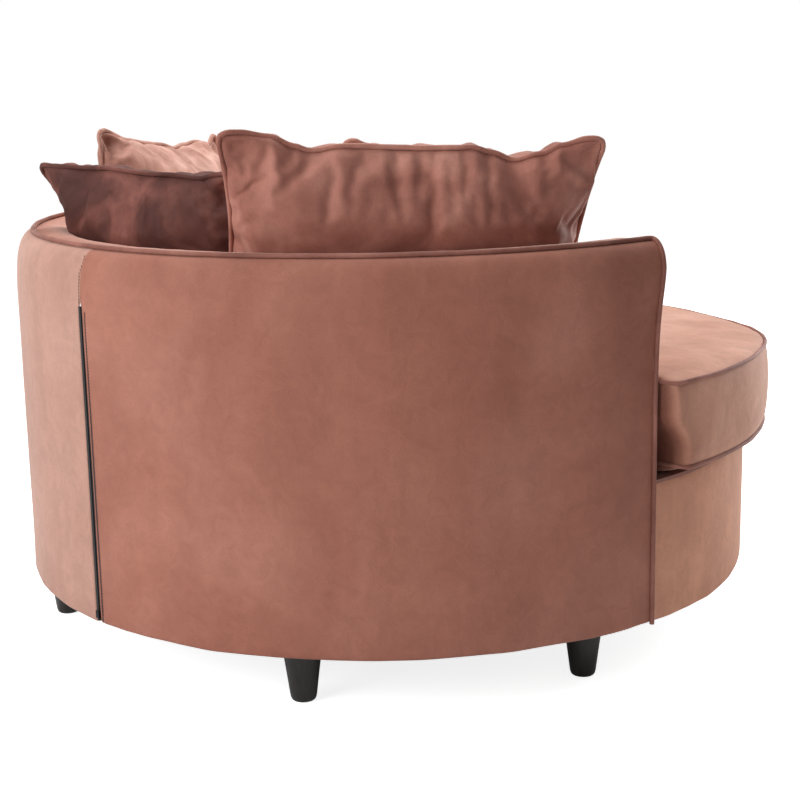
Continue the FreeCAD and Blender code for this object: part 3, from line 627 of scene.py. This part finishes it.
def seat_tuck(turn, height):
    """The ends by the arms are tucked in low down, so that they pass the arms' corners when it is lifted."""
    low = along_table([(SEAT_LOW, 2.0), (SEAT_SEAM_LOW, 2.7), (0.377, 2.8), (0.402, 0.0)], height)
    near = blend_in((94.5 - abs(turn)) / 6) * blend_in((abs(turn) - 85.4) / 0.4)
    return math.copysign(low * near, turn)


def seat_point(turn, radius, inset, height):
    near = math.exp(-((height - SEAT_SEAM_HIGH) / 0.02) ** 2)
    gather = 0.0016 * near * ripple(21, turn * 1.3, inset * 14)
    wave = 0.0012 * ripple(22, turn * 0.16, height * 12 + inset * 6)
    push = 0.0 if 0 <= inset < 0.002 else wave
    crown = 1.0 if inset >= 0 else 0.0
    lift = (gather + 0.9 * wave * blend_in(inset / 0.03)) * crown if height > 0.44 else 0.0
    fold_turn, fold_height = 92.5, 0.345
    fold = 0.0035 * math.exp(-((abs(turn) - fold_turn) / 0.9) ** 2)
    fold *= math.exp(-((height - fold_height) / 0.02) ** 2)
    level = height + lift - seat_droop(turn, inset, height)
    return chair_point(turn + seat_tuck(turn, height), radius - inset + (push - fold) * (1 - crown), level)


# Share of red, green and blue that the painted shade takes away where it is full
PAINTED_SHADE_DEPTH = (0.66, 0.77, 0.78)


def seat_shade(turn, radius, inset, height):
    """Painted shade for the ends beside the arms, which fold inwards into the arms' shadow, and for the
    hidden underside.
    """
    near = blend_in((91.2 - abs(turn)) / 3.8) * blend_in((abs(turn) - 85) / 1)
    tucked = (0.28 + 0.72 * blend_in((SEAT_RADIUS - radius) / 0.028)) * near
    hidden = tucked if inset <= 0 else 0.0
    if inset > 0 and height < SEAT_SEAM_LOW:
        hidden = 0.75
    return (*(1 - shade * hidden for shade in PAINTED_SHADE_DEPTH), 1)


def seat_piping(label, outline, seam):
    path = []
    for turn, radius in outline:
        sway = 0.0009 * ripple(24, turn * 0.25, seam * 9)
        level = seam + 0.0012 * ripple(25, turn * 0.2, seam) - seat_droop(turn, 0.0, seam)
        path.append(chair_point(turn + seat_tuck(turn, seam), radius + 0.002 + sway, level))
    cord = tube(f"seat_piping_{label}", path, SEAT_CORD, CORD_VELVET, closed=True)
    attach(cord, "seat_cushion")


def seat_cushion():
    outline = seat_outline()
    points = []
    for inset, height in SEAT_LEVELS:
        points += [seat_point(turn, radius, inset, height) for turn, radius in outline]
    last = len(SEAT_LEVELS) - 1
    faces = grid_faces(len(SEAT_LEVELS), len(outline), closed=True)
    cap(points, faces, 0, len(outline), chair_point(0, 0, SEAT_LOW), True)
    cap(points, faces, last, len(outline), chair_point(0, 0, SEAT_TOP))
    piece = mesh_piece("seat_cushion_form", points, faces, SEAT_VELVET, 1)
    # Painted shade per point: darker ends beside the arms and a darker underside
    painted_shade = piece.data.color_attributes.new("painted_shade", "FLOAT_COLOR", "POINT")
    for place in painted_shade.data:
        place.color = (1, 1, 1, 1)
    for row, (inset, height) in enumerate(SEAT_LEVELS):
        for column, (turn, radius) in enumerate(outline):
            shade = seat_shade(turn, radius, inset, height)
            painted_shade.data[row * len(outline) + column].color = shade
    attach(piece, "seat_cushion")
    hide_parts("seat_cushion_cover", "seat_cushion_foam")
    seat_piping("low", outline, SEAT_SEAM_LOW)
    seat_piping("high", outline, SEAT_SEAM_HIGH)


# Pillows
PILLOWS = {
    "pillow_right": {
        "faces": 51.9, "out": 0.505, "along": -0.009, "lean": 29, "roll": 2.4, "size": (0.561, 0.391, 0.148),
        "top": [(-1, 0.0), (-0.9, 0.001), (-0.77, 0.013), (-0.67, 0.028), (-0.53, 0.04), (-0.41, 0.028),
                (-0.3, 0.02), (0.36, 0.019), (0.53, 0.026), (0.6, 0.02), (0.74, 0.006), (0.88, 0.0),
                (1, 0.0)],
        "side": (0.017, 0.024), "gather": 0.006, "lump": 1.5, "material": DARK_VELVET, "seed": 31,
    },
    "pillow_back": {
        "faces": 5, "out": 0.452, "along": -0.121, "lean": 33, "roll": -0.9, "size": (0.468, 0.35, 0.122),
        "top": [(-1, 0.0), (-0.86, 0.006), (-0.66, 0.014), (-0.25, 0.009), (0.4, 0.002), (0.8, -0.004),
                (0.93, -0.006), (1, -0.004)],
        "side": (0.016, 0.018), "gather": 0.0065, "lump": 2.1, "material": DUSK_VELVET, "seed": 32,
    },
    "pillow_left": {
        "faces": -71.5, "out": 0.446, "along": 0.026, "lean": 5, "roll": -4, "size": (0.374, 0.325, 0.124),
        "top": [(-1, 0.0), (-0.92, 0.002), (-0.55, 0.018), (-0.28, 0.022), (0.02, 0.024), (0.22, 0.03),
                (0.38, 0.023), (0.62, 0.017), (0.83, 0.023), (0.94, 0.003), (1, 0.0)],
        "side": (0.014, 0.012), "gather": 0.0105, "lump": 1.3, "material": LIGHT_VELVET, "seed": 33,
    },
    "pillow_middle": {
        "faces": 58, "out": 0.342, "along": 0.042, "lean": 29, "roll": 6.4, "size": (0.388, 0.350, 0.120),
        "top": [(-1, 0.0), (-0.8, 0.008), (-0.3, 0.022), (0.5, 0.024), (0.8, 0.008), (0.93, 0.0), (1, 0.0)],
        "side": (0.014, 0.014), "gather": 0.0046, "lump": 1.2, "material": LIGHT_VELVET, "seed": 34,
    },
}
PILLOW_CELL = 0.0068
PILLOW_CORNER = 0.02
PILLOW_SWELL = 0.024
PILLOW_FULLNESS = 0.46
CROWN_POWER = 2.3
CLOTH_FRAMES = 20


def pillow_placement(spec):
    """The pillow's own frame in the chair: X along its top edge, Z up its height, Y out of its back."""
    width, tall, _ = spec["size"]
    facing = Matrix.Rotation(math.radians(spec["faces"]), 4, "Z")
    tilt = Matrix.Rotation(math.radians(-spec["lean"]), 4, "X")
    roll = Matrix.Rotation(math.radians(-spec["roll"]), 4, "Y")
    middle_out = spec["out"] - tall / 2 * math.sin(math.radians(spec["lean"]))
    spot = facing @ Vector((-spec["along"], middle_out, 0))
    turned = facing @ tilt @ roll
    corners = [turned @ Vector((x * width / 2, 0, z * tall / 2)) for x in (-1, 1) for z in (-1, 1)]
    lowest = min(corner.z for corner in corners)
    return Matrix.Translation(Vector((spot.x, spot.y + SETBACK, SEAT_TOP + 0.0004 + CORD - lowest))) @ turned


def corner_cut(past_side, past_edge):
    """How far a point near a square corner moves inwards, across and down, to round the corner."""
    beside, above = past_side + PILLOW_CORNER, past_edge + PILLOW_CORNER
    if beside <= 0 or above <= 0:
        return 0.0, 0.0
    share = 1 - max(beside, above) / math.hypot(beside, above)
    return beside * share, above * share


def pillow_seam(spec, across, up):
    """Where a point of the flat cover lies in the pillow's plane: its edges sag between round corners."""
    width, tall, _ = spec["size"]
    half, rise = width / 2 - CORD, tall / 2 - CORD
    top = along_table(spec["top"], across)
    bottom = 0.014 * (1 - across * across)
    side = spec["side"][0 if across < 0 else 1] * (1 - up * up)
    cut_across, cut_up = corner_cut(abs(across) * half - half, abs(up) * rise - rise)
    x = across * (half - side * abs(across) ** 3) - math.copysign(cut_across, across)
    z = up * rise - math.copysign(cut_up, up)
    z += -top * max(up, 0.0) ** 3 if up > 0 else bottom * abs(up) ** 3
    edge = max(abs(across), abs(up)) ** 6
    y = 0.005 * edge * ripple(spec["seed"], across * 2.4, up * 2.4)
    return Vector((x, y, z))


def pillow_mesh(name, spec):
    """Two cloths joined at the seam and blown up a little between them."""
    width, tall, thick = spec["size"]
    columns = round(width / PILLOW_CELL)
    rows = round(tall / PILLOW_CELL)
    points, places, numbers, faces = [], [], {}, []
    for face in (-1, 1):
        for row in range(rows + 1):
            for column in range(columns + 1):
                on_edge = row in (0, rows) or column in (0, columns)
                if on_edge and face == 1:
                    numbers[face, row, column] = numbers[-1, row, column]
                    continue
                across, up = 2 * column / columns - 1, 2 * row / rows - 1
                crown = ((1 - abs(across) ** CROWN_POWER) * (1 - abs(up) ** CROWN_POWER)) ** 0.5
                point = pillow_seam(spec, across, up)
                point.y += face * thick * PILLOW_FULLNESS * crown
                numbers[face, row, column] = len(points)
                points.append(point)
                places.append((across, up, 0 if on_edge else face))
    for face in (-1, 1):
        for row in range(rows):
            for column in range(columns):
                quad = (
                    numbers[face, row, column],
                    numbers[face, row, column + 1],
                    numbers[face, row + 1, column + 1],
                    numbers[face, row + 1, column],
                )
                faces.append(quad if face == -1 else quad[::-1])
    loop = [numbers[-1, 0, column] for column in range(columns)]
    loop += [numbers[-1, row, columns] for row in range(rows)]
    loop += [numbers[-1, rows, column] for column in range(columns, 0, -1)]
    loop += [numbers[-1, row, 0] for row in range(rows, 0, -1)]
    piece = mesh_piece(f"{name}_form", points, faces, spec["material"])
    return piece, places, loop


def gather(piece, spec, places):
    """Short folds that run from the seam into the cloth, and the soft lumps of the filling."""
    width, tall, _ = spec["size"]
    seed = spec["seed"]
    for vertex, (across, up, face) in zip(piece.data.vertices, places):
        if face == 0:
            continue
        x, z = across * width / 2, up * tall / 2
        level, upright = tall / 2 - abs(z), width / 2 - abs(x)
        uneven = 0.55 + 0.75 * ripple(seed + 0.1, x * 9, up * 3)
        down = max(0.0, uneven) * math.exp(-level / 0.03) * ripple(seed + face * 0.3, x * 62, z * 7)
        inward = 0.7 * math.exp(-upright / 0.025) * ripple(seed + face * 0.2, z * 62, x * 7)
        corner = math.exp(-math.hypot(level, upright) / 0.06)
        fold = corner * ripple(seed + 0.6, math.atan2(level, upright) * 5.5, face)
        lump = 0.0022 * ripple(seed + 0.8, x * 9, z * 9)
        lump += 0.0013 * ripple(seed + 0.9, x * 24, z * 24 + face * 3)
        near = min(1.0, min(level, upright) / 0.012)
        vertex.co.y += face * near * (spec["gather"] * (down + inward + 1.6 * fold) + spec["lump"] * lump)
    piece.data.update()


def blow_up(piece, seam, seed):
    """Cloth under pressure with its seam held. It has more cloth than room, so it gathers at the seam."""
    start = [vertex.co.copy() for vertex in piece.data.vertices]
    for vertex in piece.data.vertices:
        vertex.co.y += 0.0012 * ripple(seed, vertex.co.x * 60, vertex.co.z * 60)
    held = piece.vertex_groups.new(name="seam")
    held.add(seam, 1.0, "REPLACE")
    cloth = piece.modifiers.new("cloth", "CLOTH")
    settings = cloth.settings
    settings.quality = 6
    settings.mass = 0.25
    settings.air_damping = 2.0
    settings.tension_stiffness = 18
    settings.compression_stiffness = 14
    settings.shear_stiffness = 8
    settings.bending_stiffness = 0.35
    settings.vertex_group_mass = "seam"
    settings.shrink_min = -0.09
    settings.use_pressure = True
    settings.uniform_pressure_force = 4.5
    settings.effector_weights.gravity = 0
    cloth.point_cache.frame_start = 1
    cloth.point_cache.frame_end = CLOTH_FRAMES
    scene = bpy.context.scene
    for number in range(1, CLOTH_FRAMES + 1):
        scene.frame_set(number)
    shaped = piece.evaluated_get(bpy.context.evaluated_depsgraph_get())
    moved = [vertex.co.copy() for vertex in shaped.data.vertices]
    piece.modifiers.remove(cloth)
    scene.frame_set(1)
    for vertex, before, after in zip(piece.data.vertices, start, moved):
        step = after - before
        if step.length > PILLOW_SWELL:
            step *= PILLOW_SWELL / step.length
        vertex.co = before + step
    piece.data.update()


def pillow(name, spec):
    piece, places, loop = pillow_mesh(name, spec)
    blow_up(piece, loop, spec["seed"])
    gather(piece, spec, places)
    placement = pillow_placement(spec)
    piece.data.transform(placement)
    path = [piece.data.vertices[number].co.copy() for number in loop]
    smoothed(piece, 1)
    cord = tube(f"{name}_piping", path, CORD, spec["material"], closed=True)
    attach(piece, name)
    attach(cord, name)
    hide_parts(f"{name}_cover", f"{name}_filling")


# CAD nodes that stay as they are
def finish_nodes():
    finishes = {
        "foot_plates": PLATE_STEEL,
        "base_ring": FRAME_WOOD,
        "rim_ring": FRAME_WOOD,
        "deck_ring": FRAME_WOOD,
        "outer_board": BOARD,
        "front_board": BOARD,
        "webbing": WEBBING,
        "deck_pad": DECK_CLOTH,
        "outer_wadding": FIBRE,
        "front_wadding": FIBRE,
        "dust_cloth": DUST_CLOTH,
        "zip_side": ZIP_TAPE,
        "zip_slider": SLIDER_METAL,
        "base_rail": FRAME_WOOD,
        "back_post": FRAME_WOOD,
        "front_post": FRAME_WOOD,
    }
    for name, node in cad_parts.items():
        material = None
        for start, finish in finishes.items():
            if name.startswith(start):
                material = finish
        if material is None:
            continue
        for place in node.material_slots:
            place.material = material


# Camera where the photograph was taken from, lights and floor
CAMERA_TURN = 46.3
CAMERA_DISTANCE = 2.7682
CAMERA_HEIGHT = 0.93607
CAMERA_PITCH = 12.022
CAMERA_ROLL = 1.130
CAMERA_YAW = 0.527
LENS_MM = 71.99
SENSOR_MM = 36


def sideways():
    turn = math.radians(CAMERA_TURN)
    return Vector((-math.cos(turn), -math.sin(turn), 0)), Vector((math.sin(turn), -math.cos(turn), 0))


def camera():
    right, ahead = sideways()
    yaw, pitch, roll = (math.radians(angle) for angle in (CAMERA_YAW, CAMERA_PITCH, CAMERA_ROLL))
    level = ahead * math.cos(yaw) + right * math.sin(yaw)
    across = right * math.cos(yaw) - ahead * math.sin(yaw)
    look = level * math.cos(pitch) - Vector((0, 0, 1)) * math.sin(pitch)
    up = level * math.sin(pitch) + Vector((0, 0, 1)) * math.cos(pitch)
    x_axis = across * math.cos(roll) - up * math.sin(roll)
    y_axis = across * math.sin(roll) + up * math.cos(roll)
    lens = bpy.data.cameras.new("camera")
    lens.lens = LENS_MM
    lens.sensor_width = SENSOR_MM
    viewer = bpy.data.objects.new("camera", lens)
    bpy.context.scene.collection.objects.link(viewer)
    spot = Vector((0, SETBACK, CAMERA_HEIGHT)) - ahead * CAMERA_DISTANCE
    viewer.matrix_world = Matrix.Translation(spot) @ Matrix((x_axis, y_axis, -look)).transposed().to_4x4()
    bpy.context.scene.camera = viewer


def softbox(name, side, depth, height, size, watts, aim=0.4):
    """A square lamp placed by its steps to the photograph's right, away from the camera and up."""
    right, ahead = sideways()
    lamp = bpy.data.lights.new(name, "AREA")
    lamp.size = size
    lamp.energy = watts
    holder = bpy.data.objects.new(name, lamp)
    bpy.context.scene.collection.objects.link(holder)
    holder.location = right * side + ahead * depth + Vector((0, SETBACK, height))
    towards = Vector((0, SETBACK, aim)) - holder.location
    holder.rotation_euler = towards.to_track_quat("-Z", "Y").to_euler()


def studio():
    softbox("key", -2.6, -2.0, 1.9, 2.0, 86)
    softbox("right_side", 2.75, 2.15, 1.3, 1.8, 98)
    softbox("overhead", -0.2, 0.7, 3.0, 2.4, 78)
    softbox("camera_side", 0.2, -3.2, 1.6, 2.0, 8)
    world = bpy.data.worlds.new("studio")
    bpy.context.scene.world = world
    world.use_nodes = True
    tree = world.node_tree
    soft = tree.nodes["Background"]
    soft.inputs["Color"].default_value = (1.0, 0.99, 0.98, 1)
    soft.inputs["Strength"].default_value = 0.22
    seen = tree.nodes.new("ShaderNodeBackground")
    seen.inputs["Color"].default_value = (1, 1, 1, 1)
    path = tree.nodes.new("ShaderNodeLightPath")
    mix = tree.nodes.new("ShaderNodeMixShader")
    link(tree, path.outputs["Is Camera Ray"], mix.inputs["Fac"])
    link(tree, soft.outputs["Background"], mix.inputs[1])
    link(tree, seen.outputs["Background"], mix.inputs[2])
    link(tree, mix.outputs["Shader"], tree.nodes["World Output"].inputs["Surface"])


def floor():
    material, tree, shader = new_material("floor", 0.9)
    shader.inputs["Base Color"].default_value = (0.93, 0.93, 0.93, 1)
    shader.inputs["Specular IOR Level"].default_value = 0.1
    glow = tree.nodes.new("ShaderNodeEmission")
    glow.inputs["Strength"].default_value = 0.82
    path = tree.nodes.new("ShaderNodeLightPath")
    added = tree.nodes.new("ShaderNodeAddShader")
    mix = tree.nodes.new("ShaderNodeMixShader")
    link(tree, shader.outputs["BSDF"], added.inputs[0])
    link(tree, glow.outputs["Emission"], added.inputs[1])
    link(tree, path.outputs["Is Camera Ray"], mix.inputs["Fac"])
    link(tree, shader.outputs["BSDF"], mix.inputs[1])
    link(tree, added.outputs["Shader"], mix.inputs[2])
    link(tree, mix.outputs["Shader"], tree.nodes["Material Output"].inputs["Surface"])
    wide = 9.0
    corners = [(-wide, -wide, 0), (wide, -wide, 0), (wide, wide, 0), (-wide, wide, 0)]
    ground = mesh_piece("floor", corners, [(0, 1, 2, 3)], material)


# The left half wears the lighter copy of the velvet, painted light for the key lamp's side
outside_half("outside_left", -1, LEFT_EDGE, "outside_back_left", LIT_SIDE_VELVET)
outside_half("outside_right", 1, RIGHT_EDGE, "outside_back_right", SHELL_VELVET)
zip_stitches()
apron()
inside_cover()
arm_front("left", -1)
arm_front("right", 1)
shell_piping()
for foot_node in [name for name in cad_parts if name.startswith("foot_") and name != "foot_plates"]:
    foot(foot_node)
seat_cushion()
for pillow_name, pillow_spec in PILLOWS.items():
    pillow(pillow_name, pillow_spec)
finish_nodes()
camera()
studio()
floor()
bpy.context.scene.view_settings.view_transform = "Standard"
